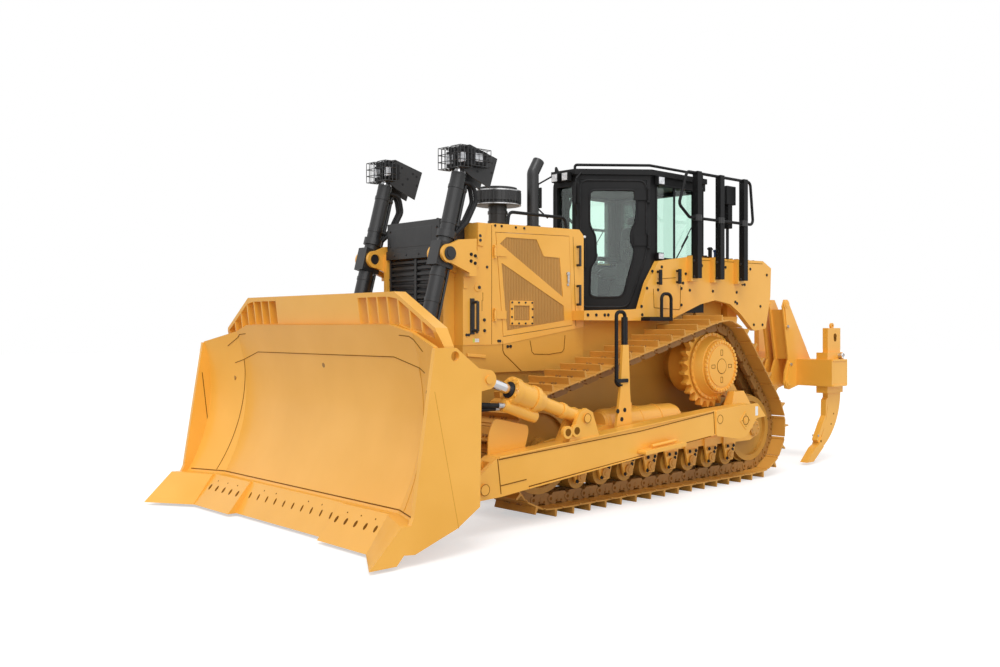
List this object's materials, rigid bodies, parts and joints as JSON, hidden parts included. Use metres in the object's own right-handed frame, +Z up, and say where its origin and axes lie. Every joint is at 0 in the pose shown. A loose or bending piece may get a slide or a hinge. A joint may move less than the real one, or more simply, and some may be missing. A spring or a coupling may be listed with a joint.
{
  "type": "track-type dozer with ripper",
  "caption": "Elevated-sprocket track-type dozer with a semi-universal blade on push arms, hydraulic lift and tilt cylinders, glazed cab and a three-shank parallelogram ripper.",
  "frame": {"origin": "on the ground, under the middle of the machine's box", "axes": "+X forward towards the blade, +Y to the machine's left, +Z up"},
  "size_m": [7.74, 3.94, 3.525],
  "materials": {
    "yellow_paint": "gloss",
    "track_paint": "satin",
    "black_paint": "satin",
    "rod_chrome": "polished",
    "cab_glass": "gloss",
    "seat_cloth": "matt",
    "console_plastic": "matt",
    "hose_rubber": "matt",
    "engine_iron": "matt"
  },
  "bodies": {
    "push_arms": {"push_arms": "yellow_paint"},
    "blade": {"moldboard": "yellow_paint", "cutting_edges": "yellow_paint", "rock_guard": "yellow_paint", "blade_structure": "yellow_paint"},
    "lift_barrels": {"lift_barrels": "black_paint", "lift_hoses": "hose_rubber", "lift_lamps": "black_paint"},
    "lift_rods": {"lift_rods": "rod_chrome"},
    "tilt_barrels": {"tilt_barrels": "yellow_paint"},
    "tilt_rods": {"tilt_rods": "rod_chrome"},
    "ripper_link": {"ripper_link": "yellow_paint"},
    "ripper_carrier": {"ripper_beam": "yellow_paint", "ripper_shanks": "yellow_paint"},
    "ripper_upper_links": {"ripper_upper_links": "yellow_paint"},
    "ripper_barrels": {"ripper_barrels": "yellow_paint"},
    "ripper_rods": {"ripper_rods": "rod_chrome"},
    "cab_door_left": {"cab_door_left": "black_paint", "door_glass_left": "cab_glass"},
    "cab_door_right": {"cab_door_right": "black_paint", "door_glass_right": "cab_glass"},
    "engine_door_left": {"engine_door_left": "yellow_paint"},
    "engine_door_right": {"engine_door_right": "yellow_paint"},
    "chassis": {"air_precleaner": "black_paint", "cab": "black_paint", "cab_glass": "cab_glass", "cab_roof": "black_paint", "control_console": "console_plastic", "engine": "engine_iron", "exhaust_stack": "black_paint", "fenders": "yellow_paint", "final_drives": "yellow_paint", "fuel_tank": "yellow_paint", "handrails": "black_paint", "hood": "yellow_paint", "idlers_and_rollers": "track_paint", "main_frame": "yellow_paint", "operator_seat": "seat_cloth", "radiator_grille": "black_paint", "radiator_guard": "yellow_paint", "ripper_bracket": "yellow_paint", "sprockets": "track_paint", "track_frames": "yellow_paint", "track_left": "track_paint", "track_right": "track_paint"}
  },
  "joints": [
    {"name": "blade_lift", "type": "hinge", "parent": "chassis", "child": "push_arms", "pos_m": [-1.085, 0, 0.73], "axis": [0, -1, 0], "range_deg": [-7, 14.7]},
    {"name": "lift_swing", "type": "hinge", "parent": "chassis", "child": "lift_barrels", "pos_m": [2.21, 0, 2.4], "axis": [0, -1, 0], "range_deg": [-4.11, 8.58]},
    {"name": "lift_stroke", "type": "slide", "parent": "lift_barrels", "child": "lift_rods", "axis": [0.2495, 0, -0.9684], "range_m": [-0.9333, 0.4455]},
    {"name": "blade_pitch", "type": "hinge", "parent": "push_arms", "child": "blade", "pos_m": [2.525, 0, 0.4], "axis": [0, -1, 0], "range_deg": [-5, 5]},
    {"name": "tilt_swing", "type": "hinge", "parent": "push_arms", "child": "tilt_barrels", "pos_m": [1.335, 0, 0.91], "axis": [0, -1, 0], "range_deg": [-1.03, 1.03]},
    {"name": "tilt_stroke", "type": "slide", "parent": "tilt_barrels", "child": "tilt_rods", "axis": [0.9453, 0, 0.3262], "range_m": [-0.0779, 0.0779]},
    {"name": "ripper_lift", "type": "hinge", "parent": "chassis", "child": "ripper_link", "pos_m": [-2.25, 0, 0.93], "axis": [0, 1, 0], "range_deg": [-36.4, 35.6]},
    {"name": "ripper_level", "type": "hinge", "parent": "ripper_link", "child": "ripper_carrier", "pos_m": [-3.235, 0, 1.01], "axis": [0, 1, 0], "range_deg": [-35.65, 36.45]},
    {"name": "ripper_upper", "type": "hinge", "parent": "chassis", "child": "ripper_upper_links", "pos_m": [-2.21, 0, 1.94], "axis": [0, 1, 0], "range_deg": [-36.45, 35.65]},
    {"name": "ripper_swing", "type": "hinge", "parent": "chassis", "child": "ripper_barrels", "pos_m": [-2.52, 0, 2], "axis": [0, 1, 0], "range_deg": [-0.78, 0.76]},
    {"name": "ripper_stroke", "type": "slide", "parent": "ripper_barrels", "child": "ripper_rods", "axis": [-0.0864, 0, -0.9963], "range_m": [-0.2086, 0.2132]},
    {"name": "cab_door_left", "type": "hinge", "parent": "chassis", "child": "cab_door_left", "pos_m": [-0.49695, 0.72628, 2.64], "axis": [0, 0, -1], "range_deg": [-90, 0]},
    {"name": "cab_door_right", "type": "hinge", "parent": "chassis", "child": "cab_door_right", "pos_m": [-0.49695, -0.72628, 2.64], "axis": [0, 0, 1], "range_deg": [-90, 0]},
    {"name": "engine_door_left", "type": "hinge", "parent": "chassis", "child": "engine_door_left", "pos_m": [1.612, 0.636, 2.14], "axis": [0, 0, 1], "range_deg": [-110, 0]},
    {"name": "engine_door_right", "type": "hinge", "parent": "chassis", "child": "engine_door_right", "pos_m": [1.612, -0.636, 2.14], "axis": [0, 0, -1], "range_deg": [-110, 0]}
  ],
  "couplings": [
    {"joint": "lift_swing", "follows": "blade_lift", "ratio": 0.58},
    {"joint": "lift_stroke", "follows": "blade_lift", "m_per_rad": -3.63},
    {"joint": "tilt_swing", "follows": "blade_pitch", "ratio": 0.197},
    {"joint": "tilt_stroke", "follows": "blade_pitch", "m_per_rad": -0.87},
    {"joint": "ripper_level", "follows": "ripper_lift", "ratio": -1},
    {"joint": "ripper_upper", "follows": "ripper_lift", "ratio": 1},
    {"joint": "ripper_swing", "follows": "ripper_lift", "ratio": 0.02},
    {"joint": "ripper_stroke", "follows": "ripper_lift", "m_per_rad": -0.3325}
  ]
}
